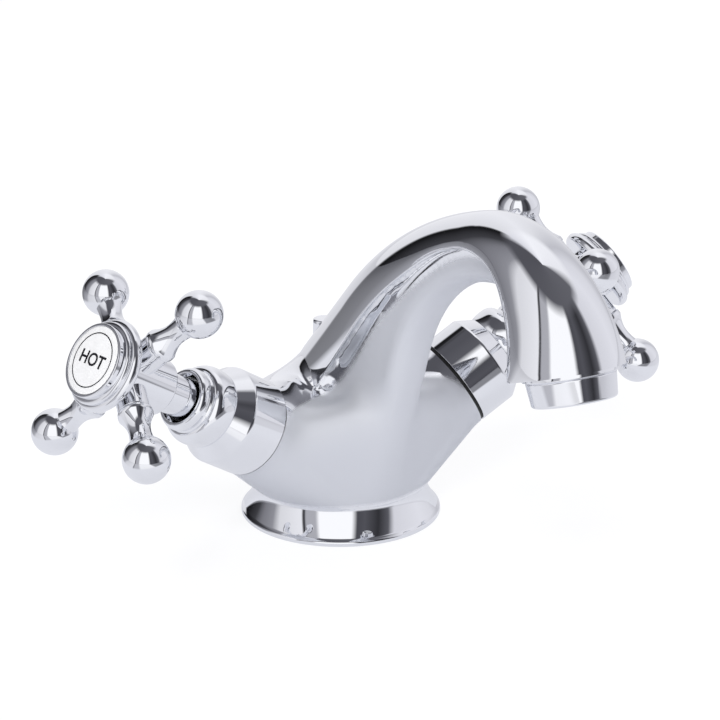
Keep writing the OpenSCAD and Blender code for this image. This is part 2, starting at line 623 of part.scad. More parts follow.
// One side's pieces by name
module piece(hot, name) side(hot) {
    turn = hot ? hot_rest : cold_rest;
    if (name == "shroud") shroud();
    if (name == "shroud_seal") shroud_seal();
    if (name == "valve_body") valve_body();
    if (name == "seat_washer") seat_washer();
    if (name == "fixed_disc") fixed_disc();
    if (name == "moving_disc") moving_disc(90);
    if (name == "spindle") spindle();
    if (name == "spindle_seal") spindle_seal();
    if (name == "spindle_clip") spindle_clip();
    if (name == "hub") hub(turn);
    if (name == "handle_screw") handle_screw(turn);
    for (k = [0:3]) if (name == str("arm_", k + 1)) handle_arm(turn, k);
    if (name == "index_cap") index_cap();
    if (name == "index_disc") index_disc();
}
PIECES = ["shroud", "shroud_seal", "valve_body", "seat_washer", "fixed_disc", "moving_disc",
    "spindle", "spindle_seal", "spindle_clip", "hub", "handle_screw", "arm_1", "arm_2", "arm_3",
    "arm_4", "index_cap", "index_disc"];

body();
foot_seal();
aerator_housing();
aerator_washer();
aerator_insert();
aerator_mesh();
lift_rod();
lift_knob();
for (s = SIDES, p = PIECES)
    piece(s == "hot", p);
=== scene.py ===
import math
import bpy
from mathutils import Matrix, Vector


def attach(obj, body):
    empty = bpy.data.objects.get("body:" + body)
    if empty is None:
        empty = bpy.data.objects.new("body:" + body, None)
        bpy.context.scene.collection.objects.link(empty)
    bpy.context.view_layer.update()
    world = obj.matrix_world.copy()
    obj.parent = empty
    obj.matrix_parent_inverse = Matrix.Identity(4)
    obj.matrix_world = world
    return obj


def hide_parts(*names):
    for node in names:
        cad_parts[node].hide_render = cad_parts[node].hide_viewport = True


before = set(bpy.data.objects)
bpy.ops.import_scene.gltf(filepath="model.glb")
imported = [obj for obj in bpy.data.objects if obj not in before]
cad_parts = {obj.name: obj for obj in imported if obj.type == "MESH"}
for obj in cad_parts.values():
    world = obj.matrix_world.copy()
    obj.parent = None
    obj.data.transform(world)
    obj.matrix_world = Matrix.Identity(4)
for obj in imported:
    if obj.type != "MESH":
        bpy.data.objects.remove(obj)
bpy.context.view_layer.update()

# Monobloc basin mixer with two cross handles, chrome on brass.
# Sizes are in millimetres, as a drawing has them, and MM turns them to metres.
MM = 0.001


def mix(a, b, k):
    """The value at share k of the way from a to b."""
    return a + (b - a) * k


def ramp(value, low, high):
    """0 below low, 1 above high, and even between."""
    return min(1, max(0, (value - low) / (high - low)))


def band(value, start, full, fading, end):
    """0 outside start and end, 1 from full to fading, and even between."""
    return ramp(value, start, full) * ramp(end - value, 0, end - fading)


# Camera, at the photograph's angle
CAMERA_TARGET = Vector((6.38, 0, 42.888)) * MM
CAMERA_AZIMUTH = math.radians(-31.753)
CAMERA_ELEVATION = math.radians(19.531)
CAMERA_DISTANCE = 701.34 * MM
CAMERA_LENS = 126.207


def add_camera():
    """The camera, aimed at the middle of the object."""
    back = Vector((
        math.sin(CAMERA_AZIMUTH) * math.cos(CAMERA_ELEVATION),
        -math.cos(CAMERA_AZIMUTH) * math.cos(CAMERA_ELEVATION),
        math.sin(CAMERA_ELEVATION),
    ))
    bpy.ops.object.camera_add(location=CAMERA_TARGET + back * CAMERA_DISTANCE)
    camera = bpy.context.object
    camera.rotation_euler = (-back).to_track_quat("-Z", "Y").to_euler()
    camera.data.lens = CAMERA_LENS
    camera.data.sensor_width = 36
    camera.data.clip_start = 0.01
    bpy.context.scene.camera = camera


# Node building


def linear(code):
    """An sRGB hex colour as the linear values that a shader takes."""
    parts = [int(code[i:i + 2], 16) / 255 for i in (1, 3, 5)]
    return (*[p / 12.92 if p <= 0.04045 else ((p + 0.055) / 1.055) ** 2.4 for p in parts], 1)


def add_node(tree, kind, inputs={}, stops=(), **settings):
    """Adds a node with its settings. An input is a value or the socket that feeds it, and a
    stop of a colour ramp is a position with its hex colour."""
    made = tree.nodes.new(kind)
    for name, value in settings.items():
        setattr(made, name, value)
    for name, value in inputs.items():
        if isinstance(value, bpy.types.NodeSocket):
            tree.links.new(value, made.inputs[name])
        else:
            made.inputs[name].default_value = value
    for i, (position, code) in enumerate(stops):
        elements = made.color_ramp.elements
        stop = elements[i] if i < 2 else elements.new(position)
        stop.position = position
        stop.color = linear(code)
    return made


def grain(size):
    """The scale that gives a texture features of this size in millimetres."""
    return 1000 / size


def new_material(name, colour, metallic, roughness):
    """A material with its shader and the coordinates of the piece."""
    material = bpy.data.materials.new(name)
    material.use_nodes = True
    tree = material.node_tree
    shader = tree.nodes["Principled BSDF"]
    shader.inputs["Base Color"].default_value = linear(colour)
    shader.inputs["Metallic"].default_value = metallic
    shader.inputs["Roughness"].default_value = roughness
    place = add_node(tree, "ShaderNodeTexCoord").outputs["Object"]
    return material, tree, shader, place


SATIN_ROUGHNESS = 0.5
SATIN_SCATTER = 0.45


def chrome_plate(name, wave_size, wave_depth):
    """Bright chrome over polished brass. The eye gets a cool mirror whose reflections swim a
    little where the buffed metal underneath is uneven, and a faint haze of wiping marks. Where a
    piece's satin attribute rises, the mirror turns to an even, pale grey sheen."""
    material, tree, shader, place = new_material(name, "#F1F2F5", 1, 0.03)
    wave = add_node(tree, "ShaderNodeTexNoise", {"Vector": place, "Scale": grain(wave_size),
                                                 "Detail": 1.0})
    bump = add_node(tree, "ShaderNodeBump", {"Height": wave.outputs["Fac"], "Strength": 1.0,
                                             "Distance": wave_depth * MM})
    haze = add_node(tree, "ShaderNodeTexNoise", {"Vector": place, "Scale": grain(14), "Detail": 5.0})
    rough = add_node(tree, "ShaderNodeMapRange", {"Value": haze.outputs["Fac"], "From Min": 0.35,
                                                  "From Max": 0.75, "To Min": 0.02, "To Max": 0.07})
    satin = add_node(tree, "ShaderNodeAttribute", attribute_name="satin")
    both = add_node(tree, "ShaderNodeMath", {0: satin.outputs["Fac"], 1: SATIN_ROUGHNESS,
                                             2: rough.outputs["Result"]}, operation="MULTIPLY_ADD")
    tone = add_node(tree, "ShaderNodeValToRGB", {"Fac": satin.outputs["Fac"]},
                    [(0.0, "#F1F2F5"), (1.0, "#DCDEE3")])
    mirror = add_node(tree, "ShaderNodeMath", {0: satin.outputs["Fac"], 1: -SATIN_SCATTER, 2: 1},
                      operation="MULTIPLY_ADD")
    tree.links.new(tone.outputs["Color"], shader.inputs["Base Color"])
    tree.links.new(mirror.outputs[0], shader.inputs["Metallic"])
    tree.links.new(bump.outputs["Normal"], shader.inputs["Normal"])
    tree.links.new(both.outputs[0], shader.inputs["Roughness"])
    return material


def black_rubber():
    """Moulded nitrile rubber: dead black with a soft sheen and a fine dusty grain."""
    material, tree, shader, place = new_material("moulded black rubber", "#161616", 0, 0.55)
    dust = add_node(tree, "ShaderNodeTexNoise", {"Vector": place, "Scale": grain(0.8), "Detail": 3.0})
    tone = add_node(tree, "ShaderNodeValToRGB", {"Fac": dust.outputs["Fac"]},
                    [(0.35, "#101010"), (0.75, "#242322")])
    bump = add_node(tree, "ShaderNodeBump", {"Height": dust.outputs["Fac"], "Strength": 0.4,
                                             "Distance": 0.05 * MM})
    tree.links.new(tone.outputs["Color"], shader.inputs["Base Color"])
    tree.links.new(bump.outputs["Normal"], shader.inputs["Normal"])
    return material


def turned_brass():
    """Machined brass left bare inside the valve: warm yellow with fine tool rings."""
    material, tree, shader, place = new_material("turned brass", "#D2B064", 1, 0.25)
    rings = add_node(tree, "ShaderNodeTexWave", {"Vector": place, "Scale": grain(1.2) / 20,
                                                 "Distortion": 1.0}, wave_type="BANDS")
    tone = add_node(tree, "ShaderNodeValToRGB", {"Fac": rings.outputs["Fac"]},
                    [(0.0, "#C9A357"), (1.0, "#DDBE78")])
    bump = add_node(tree, "ShaderNodeBump", {"Height": rings.outputs["Fac"], "Strength": 0.3,
                                             "Distance": 0.02 * MM})
    tree.links.new(tone.outputs["Color"], shader.inputs["Base Color"])
    tree.links.new(bump.outputs["Normal"], shader.inputs["Normal"])
    return material


def nickel_plate():
    """Bright nickel on the valve, which shows in the shroud's mouth: a warm grey, a little dull."""
    material, tree, shader, place = new_material("nickel on turned brass", "#A7A5A1", 1, 0.2)
    rings = add_node(tree, "ShaderNodeTexWave", {"Vector": place, "Scale": grain(1.2) / 20,
                                                 "Distortion": 1.0}, wave_type="BANDS")
    tone = add_node(tree, "ShaderNodeValToRGB", {"Fac": rings.outputs["Fac"]},
                    [(0.0, "#97958F"), (1.0, "#B2B1AD")])
    tree.links.new(tone.outputs["Color"], shader.inputs["Base Color"])
    return material


def glazed_porcelain():
    """Glazed porcelain of the index discs: a clean warm white under a glassy, slightly rippled
    glaze."""
    material, tree, shader, place = new_material("glazed porcelain", "#F2F2F1", 0, 0.12)
    shader.inputs["Coat Weight"].default_value = 0.6
    shader.inputs["Coat Roughness"].default_value = 0.03
    clay = add_node(tree, "ShaderNodeTexNoise", {"Vector": place, "Scale": grain(3), "Detail": 4.0})
    tone = add_node(tree, "ShaderNodeValToRGB", {"Fac": clay.outputs["Fac"]},
                    [(0.3, "#EFEFEE"), (0.7, "#F6F6F5")])
    bump = add_node(tree, "ShaderNodeBump", {"Height": clay.outputs["Fac"], "Strength": 0.3,
                                             "Distance": 0.02 * MM})
    tree.links.new(tone.outputs["Color"], shader.inputs["Base Color"])
    tree.links.new(bump.outputs["Normal"], shader.inputs["Normal"])
    return material


def fired_letters():
    """Black enamel lettering fired into the glaze: dense black with a glassy face."""
    material, tree, shader, place = new_material("fired black enamel", "#15151A", 0, 0.2)
    wear = add_node(tree, "ShaderNodeTexNoise", {"Vector": place, "Scale": grain(0.5), "Detail": 2.0})
    tone = add_node(tree, "ShaderNodeValToRGB", {"Fac": wear.outputs["Fac"]},
                    [(0.35, "#0D0D10"), (0.75, "#26262C")])
    tree.links.new(tone.outputs["Color"], shader.inputs["Base Color"])
    return material


def sintered_alumina():
    """Lapped alumina of the valve discs: a matt, faintly speckled white."""
    material, tree, shader, place = new_material("sintered alumina", "#E9E7E0", 0, 0.35)
    speck = add_node(tree, "ShaderNodeTexNoise", {"Vector": place, "Scale": grain(0.6), "Detail": 2.0})
    tone = add_node(tree, "ShaderNodeValToRGB", {"Fac": speck.outputs["Fac"]},
                    [(0.3, "#DDDAD2"), (0.7, "#F0EEE8")])
    tree.links.new(tone.outputs["Color"], shader.inputs["Base Color"])
    return material


def acetal_moulding():
    """Injection-moulded acetal of the aerator: milky white with a soft satin face."""
    material, tree, shader, place = new_material("moulded white acetal", "#DEDFDC", 0, 0.4)
    shader.inputs["Subsurface Weight"].default_value = 0.1
    shader.inputs["Subsurface Radius"].default_value = (1 * MM, 1 * MM, 1 * MM)
    frost = add_node(tree, "ShaderNodeTexNoise", {"Vector": place, "Scale": grain(1.0), "Detail": 3.0})
    bump = add_node(tree, "ShaderNodeBump", {"Height": frost.outputs["Fac"], "Strength": 0.3,
                                             "Distance": 0.03 * MM})
    tree.links.new(bump.outputs["Normal"], shader.inputs["Normal"])
    return material


def spring_steel(name, colour):
    """Plain steel, tumbled and oiled: a darker grey metal with a soft, streaky shine."""
    material, tree, shader, place = new_material(name, colour, 1, 0.3)
    streak = add_node(tree, "ShaderNodeTexNoise", {"Vector": place, "Scale": grain(1.5), "Detail": 4.0})
    rough = add_node(tree, "ShaderNodeMapRange", {"Value": streak.outputs["Fac"], "To Min": 0.2,
                                                  "To Max": 0.42})
    tree.links.new(rough.outputs["Result"], shader.inputs["Roughness"])
    return material


CAST_CHROME = chrome_plate("chrome on cast brass", 22, 0.035)
TURNED_CHROME = chrome_plate("chrome on turned brass", 9, 0.004)
RUBBER = black_rubber()
BRASS = turned_brass()
NICKEL = nickel_plate()
PORCELAIN = glazed_porcelain()
ENAMEL = fired_letters()
ALUMINA = sintered_alumina()
ACETAL = acetal_moulding()
STEEL = spring_steel("stainless steel", "#B9BABD")
SPRING = spring_steel("spring steel", "#8E9094")

# Shaping, as on a lathe and a bench


def select_only(*objects):
    """Selects these objects alone, the last one active."""
    bpy.ops.object.select_all(action="DESELECT")
    for o in objects:
        o.select_set(True)
    bpy.context.view_layer.objects.active = objects[-1]


def apply_modifier(piece, kind, **settings):
    """Adds a modifier with its settings and applies it at once."""
    select_only(piece)
    bpy.ops.object.modifier_add(type=kind)
    modifier = piece.modifiers[-1]
    for name, value in settings.items():
        setattr(modifier, name, value)
    bpy.ops.object.modifier_apply(modifier=modifier.name)


def turned(name, profile, steps=128):
    """Turns a profile of (radius, height) points round Z: one point is extruded along the
    outline, and the outline is spun."""
    bpy.ops.object.select_all(action="DESELECT")
    bpy.ops.mesh.primitive_plane_add(size=MM, location=(0, 0, 0))
    piece = bpy.context.object
    piece.name = name
    bpy.ops.object.mode_set(mode="EDIT")
    bpy.ops.mesh.merge(type="CENTER")
    radius, height = profile[0]
    bpy.ops.transform.translate(value=(radius * MM, 0, height * MM))
    for (r0, h0), (r1, h1) in zip(profile, profile[1:]):
        step = ((r1 - r0) * MM, 0, (h1 - h0) * MM)
        bpy.ops.mesh.extrude_region_move(TRANSFORM_OT_translate={"value": step})
    bpy.ops.mesh.select_all(action="SELECT")
    bpy.ops.mesh.spin(steps=steps, angle=math.tau, center=(0, 0, 0), axis=(0, 0, 1))
    bpy.ops.mesh.select_all(action="SELECT")
    bpy.ops.mesh.remove_doubles(threshold=0.002 * MM)
    bpy.ops.mesh.normals_make_consistent(inside=False)
    bpy.ops.object.mode_set(mode="OBJECT")
    return piece


def rounded(corners, steps=5):
    """An outline from corners (radius, height, rounding), each corner eased by its rounding."""
    points = []
    count = len(corners)
    for i, (r, h, ease) in enumerate(corners):
        corner = Vector((r, h))
        if ease == 0 or i in (0, count - 1):
            points.append((r, h))
            continue
        back = Vector(corners[i - 1][:2]) - corner
        ahead = Vector(corners[i + 1][:2]) - corner
        a = corner + back.normalized() * min(ease, back.length / 2)
        b = corner + ahead.normalized() * min(ease, ahead.length / 2)
        for j in range(steps + 1):
            t = j / steps
            p = a * (1 - t) ** 2 + corner * 2 * t * (1 - t) + b * t * t
            points.append((p.x, p.y))
    return points


def bead(r0, h0, r1, h1, r, k=0.5, steps=24):
    """A rounded bead from (r0, h0) to (r1, h1) whose greatest radius r is at share k."""
    middle = mix(h0, h1, k)
    points = []
    for i in range(steps + 1):
        a = math.pi * (i / steps - 0.5)
        side = (r0, h0) if a < 0 else (r1, h1)
        points.append((mix(side[0], r, math.cos(a)), mix(middle, side[1], abs(math.sin(a)))))
    return points


def place(piece, matrix):
    """Puts a piece where the matrix says, with its place kept in its mesh."""
    piece.matrix_world = matrix
    select_only(piece)
    bpy.ops.object.transform_apply(location=True, rotation=True, scale=True)


def cut(piece, tool, operation="DIFFERENCE"):
    """Cuts a tool out of a piece, or welds it on, and throws the tool away."""
    apply_modifier(piece, "BOOLEAN", operation=operation, object=tool, solver="MANIFOLD")
    bpy.data.objects.remove(tool)


def polish(piece, angle=35):
    """Smooth faces that stay crisp at the edges, with flats that read flat."""
    select_only(piece)
    bpy.ops.object.shade_smooth_by_angle(angle=math.radians(angle))
    apply_modifier(piece, "WEIGHTED_NORMAL", keep_sharp=True)


def hand_over(piece, body, slot, material, *nodes):
    """Gives a finished piece its finish and its body, and hides the frame's solids that it stands for."""
    piece.data.materials.clear()
    piece.data.materials.append(material)
    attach(piece, body)
    if nodes:
        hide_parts(*nodes)


# Arms and handles: places along an arm's axis, and the turns at which the handles rest

ARM_Y = -2
ARM_Z = 12.8
ARM_TILT = math.radians(31.5)
ARM_YAW = math.radians(8)
BOSS_AT = 38.5
BOSS_D = 26.8
HUB_BACK = 73.5
HUB_FRONT = 90.7
CROSS_AT = 85.1
REST = {"hot": math.radians(-51), "cold": math.radians(-30)}


def arm_place(side):
    """The frame of an arm: its axis is Z. The hot side is the mirror image, turned over so that
    it stays a plain rotation."""
    cold = (Matrix.Translation(Vector((0, ARM_Y, ARM_Z)) * MM)
            @ Matrix.Rotation(-ARM_YAW, 4, "Z")
            @ Matrix.Rotation(math.pi / 2 - ARM_TILT, 4, "Y"))
    if side == "cold":
        return cold
    return Matrix.Diagonal((-1, 1, 1, 1)) @ cold @ Matrix.Diagonal((1, -1, 1, 1))


def handle_place(side, turn=0):
    """The frame of a handle, which rests turned about its arm's axis."""
    angle = REST[side] + turn
    return arm_place(side) @ Matrix.Rotation(angle if side == "cold" else -angle, 4, "Z")


# Crest of the spout in the middle plane: a straight rise, a long arc and a tight arc

CREST_START = Vector((23.2, 36.2))
RISE_ANGLE = 45
RISE = 50
BACK_R = 125
CROWN_ANGLE = 15
CROWN_R = 41
OUTLET_TILT = 18
END_ANGLE = OUTLET_TILT - 90
BACK = BACK_R * math.radians(RISE_ANGLE - CROWN_ANGLE)
CREST = RISE + BACK + CROWN_R * math.radians(CROWN_ANGLE - END_ANGLE)


def ahead(angle):
    """The direction of a heading in the (y, z) plane: 0 runs to the front, 90 runs up."""
    return Vector((-math.cos(math.radians(angle)), math.sin(math.radians(angle))))


def inward(angle):
    """The direction square to a heading, towards the arch."""
    return Vector((-math.sin(math.radians(angle)), -math.cos(math.radians(angle))))


RISE_END = CREST_START + ahead(RISE_ANGLE) * RISE
BACK_CENTRE = RISE_END + inward(RISE_ANGLE) * BACK_R
CROWN_CENTRE = BACK_CENTRE - inward(CROWN_ANGLE) * (BACK_R - CROWN_R)


def heading(s):
    """The heading of the crest at s along it, in degrees."""
    if s < RISE:
        return RISE_ANGLE
    if s < RISE + BACK:
        return RISE_ANGLE - math.degrees((s - RISE) / BACK_R)
    return max(END_ANGLE, CROWN_ANGLE - math.degrees((s - RISE - BACK) / CROWN_R))


def crest(s):
    """The point of the crest at s along it, in the (y, z) plane."""
    if s < RISE:
        return CREST_START + ahead(RISE_ANGLE) * s
    if s < RISE + BACK:
        return BACK_CENTRE - inward(heading(s)) * BACK_R
    over = max(0, s - CREST)
    return CROWN_CENTRE - inward(heading(s)) * CROWN_R + ahead(END_ANGLE) * over


def spot(s, x, d):
    """A point of the section at s: x across and d below the crest."""
    c = crest(s) + inward(heading(s)) * d
    return Vector((x, c.x, c.y))


def run(values, t):
    """A smooth run through evenly spaced values."""
    last = len(values) - 1
    u = min(max(t, 0), 1) * last
    i = min(last - 1, int(u))
    q = u - i
    a, b, c, e = [values[min(max(j, 0), last)] for j in range(i - 1, i + 3)]
    return (2 * b + (c - a) * q + (2 * a - 5 * b + 4 * c - e) * q * q
            + (3 * b - a - 3 * c + e) * q ** 3) / 2


ROOT_W, CROWN_W, OUTLET_W = 12.5, 10.2, 15.7
ROOT_DEPTH, CROWN_DEPTH, OUTLET_DEPTH = 20, 8.6, 17
HALF_W = [mix(ROOT_W, CROWN_W, k) for k in (0, 0.1, 0.15, 0.3, 0.55, 1)]
HALF_W += [mix(CROWN_W, OUTLET_W, k) for k in (0.1, 0.55, 1)]
DEPTH = [mix(ROOT_DEPTH, CROWN_DEPTH, k) for k in (0, 0.15, 0.3, 0.5, 0.72, 1)]
DEPTH += [mix(CROWN_DEPTH, OUTLET_DEPTH, k) for k in (0.1, 0.64, 1)]
HOLLOW = [0.1, 0.2, 0.22, 0.22, 0.25, 0.7, 1, 0.6, 0]
SPOUT_WALL = 3
LEAST_HOLLOW = 0.12
LIP_EASE = 1.2
SKIN_INSET = 0.06


def spout_ring(s, inset=SKIN_INSET, vault_inset=0, steps=24):
    """Outline of the spout at s: a half ellipse over a vaulted underside, with an eased lip."""
    t = s / CREST
    w, h, k = run(HALF_W, t) - inset, run(DEPTH, t) - inset, max(LEAST_HOLLOW, run(HOLLOW, t))
    inner, rise = w - k * SPOUT_WALL + vault_inset, k * (h - SPOUT_WALL)
    ease = min(LIP_EASE, 0.4 * (w - inner))
    over, under = math.acos(2 * ease / (h - inset)), math.acos(2 * ease / rise)
    half = [(w * math.sin(over * i / steps), h - (h - inset) * math.cos(over * i / steps))
            for i in range(steps)]
    half += rounded([(w * math.sin(over), h - 2 * ease, 0), (w, h, ease), (inner, h, ease),
                     (inner * math.sin(under), h - 2 * ease, 0)])
    half += [(inner * math.sin(under * i / steps), h - rise * math.cos(under * i / steps))
             for i in range(steps - 1, -1, -1)]
    return [spot(s, x, d) for x, d in half] + [spot(s, -x, d) for x, d in half[-2:0:-1]]


# Front edge of the web: a straight line up from the waist, an arch, and a fall into the outlet

FOOT_D = 56
FOOT_RIM = 1.2
FOOT_H = 10
WAIST_D = 47.5
WEB_T = 13
WEB_BACK_T = 17.6
NOSE_ANGLE = 72
NOSE_SQUARE = 0.72
NOSE_WIDTH = 0.94
NOSE_Z = 55
ARCH_R = 47.8
ARCH_END = -10
OUTLET_INSET = 12.7
WEB_TOP = 2
ROOT_EAVE, TIP_EAVE = 8, 4.2
NOSE_FOOT = Vector((-WAIST_D / 2 - 0.2, FOOT_H))
NOSE_END = NOSE_FOOT + ahead(NOSE_ANGLE) * ((NOSE_Z - FOOT_H) / math.sin(math.radians(NOSE_ANGLE)))
ARCH_CENTRE = NOSE_END + inward(NOSE_ANGLE) * ARCH_R
ARCH_CREST = CREST - CROWN_R * math.radians(ARCH_END - END_ANGLE)
MOUTH = crest(CREST - 1) + inward(END_ANGLE) * (OUTLET_INSET + 1)
OUTLET = spot(CREST, 0, OUTLET_INSET) * MM
AT_OUTLET = Matrix.Translation(OUTLET) @ Matrix.Rotation(math.radians(180 - OUTLET_TILT), 4, "X")
STANDING = Matrix.Identity(4)


def nose(t):
    """The web's front edge at t: line to 1, arch to 2, fall to 3."""
    if t < 1:
        return NOSE_FOOT.lerp(NOSE_END, t)
    if t < 2:
        return ARCH_CENTRE - inward(mix(NOSE_ANGLE, ARCH_END, t - 1)) * ARCH_R
    return (ARCH_CENTRE - inward(ARCH_END) * ARCH_R).lerp(MOUTH, t - 2)


def nose_crest(t):
    """The point of the crest that the web at t reaches up to."""
    if t < 1:
        return crest(mix(2, RISE, t))
    if t < 2:
        return crest(mix(RISE, ARCH_CREST, t - 1))
    return crest(mix(ARCH_CREST, CREST - 1, t - 2))


def web_ring(t, round_steps=24):
    """Outline of the web: a squarish round nose, nearly flat sides and a top inside the spout."""
    n, c = nose(t), nose_crest(t)
    up = (c - n).normalized()
    q = min(1, max(0, t - 1))
    r = WEB_T / 2
    b = mix(WEB_BACK_T, WEB_T, q) / 2
    top = c - up * WEB_TOP
    eave = c - up * mix(ROOT_EAVE, TIP_EAVE, q)
    ring = [(-b, *eave), (-r / 2, *top), (r / 2, *top), (b, *eave)]
    for i in range(round_steps + 1):
        a = math.pi * i / round_steps
        p = n + up * (r * (1 - math.sin(a) ** NOSE_SQUARE))
        x = NOSE_WIDTH * r * math.copysign(abs(math.cos(a)) ** NOSE_SQUARE, math.cos(a))
        ring.append((x, *p))
    return [Vector(p) for p in ring]


def lofted(name, rings):
    """A skin over closed rings. The spout goes from a thick bar to an open hood and the web
    flares, which extrusion can't follow, so their sections come from their formulas."""
    count = len(rings[0])
    points = [p * MM for ring in rings for p in ring]
    faces = [list(range(count))[::-1], [(len(rings) - 1) * count + j for j in range(count)]]
    for i in range(len(rings) - 1):
        for j in range(count):
            k = (j + 1) % count
            faces.append((i * count + j, i * count + k, (i + 1) * count + k, (i + 1) * count + j))
    mesh = bpy.data.meshes.new(name)
    mesh.from_pydata(points, [], faces)
    piece = bpy.data.objects.new(name, mesh)
    bpy.context.collection.objects.link(piece)
    select_only(piece)
    bpy.ops.object.mode_set(mode="EDIT")
    bpy.ops.mesh.select_all(action="SELECT")
    bpy.ops.mesh.quads_convert_to_tris()
    bpy.ops.mesh.normals_make_consistent(inside=False)
    bpy.ops.object.mode_set(mode="OBJECT")
    return piece


def hulled(name, parts):
    """A skin stretched over simple parts, for the flanks that run from the waist to an arm."""
    select_only(*parts)
    bpy.ops.object.join()
    piece = bpy.context.object
    piece.name = name
    bpy.ops.object.mode_set(mode="EDIT")
    bpy.ops.mesh.select_all(action="SELECT")
    bpy.ops.mesh.convex_hull()
    bpy.ops.object.mode_set(mode="OBJECT")
    return piece


def disc(d, low, high, matrix, steps=96):
    """A round slice of the given diameter between two heights of a frame."""
    bpy.ops.object.select_all(action="DESELECT")
    bpy.ops.mesh.primitive_cylinder_add(vertices=steps, radius=d / 2 * MM, depth=(high - low) * MM,
                                        location=(0, 0, (low + high) / 2 * MM))
    piece = bpy.context.object
    bpy.ops.object.transform_apply(location=True)
    place(piece, matrix)
    return piece


def ball(centre, d):
    """A ball of the given diameter."""
    bpy.ops.object.select_all(action="DESELECT")
    bpy.ops.mesh.primitive_uv_sphere_add(segments=48, ring_count=24, radius=d / 2 * MM,
                                         location=Vector(centre) * MM)
    made = bpy.context.object
    bpy.ops.object.transform_apply(location=True)
    return made


def nose_ball(up):
    """A ball inside the web's front edge, at a height above the foot."""
    y = NOSE_FOOT.x - up / math.tan(math.radians(NOSE_ANGLE)) + WEB_T / 2
    return ball((0, y, FOOT_H + up), WEB_T - 0.4)


RIM_BALL_D = 6
UNDER_SKIN = 0.3


def rim_ball(side, angle):
    """A ball just inside the rim of an arm's end, an angle up from its front."""
    d = RIM_BALL_D
    arm = arm_place(side)
    along = arm.to_3x3() @ Vector((0, 0, 1))
    front = Vector((along.y, -along.x, 0)).normalized() * (1 if along.x > 0 else -1)
    up = Vector((0, 0, 1)) - along * along.z
    a = math.radians(angle)
    out = front * math.cos(a) + up.normalized() * math.sin(a)
    return ball(arm.translation / MM + along * (BOSS_AT - 1 - d / 2)
                + out * (BOSS_D / 2 - UNDER_SKIN / 2 - d / 2), d)


# The casting: its flanks run from the waist to the arms, with a ridge in front and a saddle
# behind it. Its parts are merged, eased where they meet, and sawn off square at their ends.

VOXEL = 0.6
CORE_RINGS, WEB_RINGS, SKIN_RINGS = 140, 90, 160
TRIM = 5
ARM_SAW_D, OUTLET_SAW_D = BOSS_D + 8, 60
BOSS_LEN = 6
BOW_ANGLES = (-75, -40, -5, 28)
BOW_LOW, BOW_HIGH = 4, 28
SADDLE_ANGLE = 24
SADDLE_MID = (8, -5, 33)
SADDLE_BALL_D = 9
SADDLE_HIGH = 22
ROOT_FROM, ROOT_TO = 0.3, 9
CORE_INSET, CORE_VAULT_INSET = 0.2, 0.35
LIGHT_SMOOTHING, BLEND_SMOOTHING = 20, 450


def waist_disc():
    """A slice just under the waist's skin, where the flanks start."""
    return disc(WAIST_D - UNDER_SKIN, FOOT_H - 2, FOOT_H - UNDER_SKIN, STANDING)


def boss_disc(arm):
    """A slice just under the skin of an arm's end."""
    return disc(BOSS_D - UNDER_SKIN, BOSS_AT - 3.2, BOSS_AT - 0.8, arm)


def root_skin():
    """The first stretch of the spout, a little under its skin."""
    return lofted("root", [[Vector((p.x * 0.97, p.y - UNDER_SKIN, p.z - UNDER_SKIN))
                            for p in spout_ring(s)] for s in (ROOT_FROM, ROOT_TO)])


def casting_parts():
    """Spout, web, flanks and arm ends, which overlap and are then merged."""
    reach = CREST + TRIM
    parts = [
        lofted("spout", [spout_ring(reach * i / CORE_RINGS, CORE_INSET, CORE_VAULT_INSET)
                         for i in range(CORE_RINGS + 1)]),
        lofted("web", [web_ring(3 * i / WEB_RINGS) for i in range(WEB_RINGS + 1)]),
    ]
    for side, out in (("hot", -1), ("cold", 1)):
        arm = arm_place(side)
        rim = [rim_ball(side, angle) for angle in BOW_ANGLES]
        parts.append(hulled("bow", [waist_disc(), *rim, nose_ball(BOW_LOW), nose_ball(BOW_HIGH)]))
        middle = (SADDLE_MID[0] * out, *SADDLE_MID[1:])
        parts.append(hulled("saddle", [waist_disc(), rim_ball(side, SADDLE_ANGLE),
                                       ball(middle, SADDLE_BALL_D), nose_ball(SADDLE_HIGH)]))
        root = root_skin()
        parts.append(hulled("shoulder", [waist_disc(), boss_disc(arm), root]))
        parts.append(disc(BOSS_D, BOSS_AT - BOSS_LEN, BOSS_AT + TRIM, arm))
    return parts


def fillet_weight(p):
    """How much the casting is eased at a point: most where the flanks meet the web, on top of
    the arms, and at the knot where ridge, saddle and spout come together."""
    across = band(abs(p.x), 4, 8, 26, 31)
    front = ramp(-p.y, 5, 10) * band(p.z, 24, 30, 45, 50)
    top = band(p.y, -4, 0, 17, 21) * band(p.z, 28, 32, 42, 48)
    knot = band(p.y, -10, -6, -2, 2) * ramp(16 - abs(p.x), 0, 5) * band(p.z, 33, 36, 41, 46)
    return across * max(front, top, knot)


CREST_STEPS = 60
CREST_POINTS = [(crest(CREST * i / CREST_STEPS), run(DEPTH, i / CREST_STEPS))
                for i in range(CREST_STEPS + 1)]
RIDGE_X, RIDGE_Y = 9, -6
BEHIND_X, BEHIND_Y = 0.54, 0.84
UNDER_ARM = 14
UNDER_FULL, UNDER_END = 27, 36
LIP_FROM, LIP_FULL = 1.5, 4


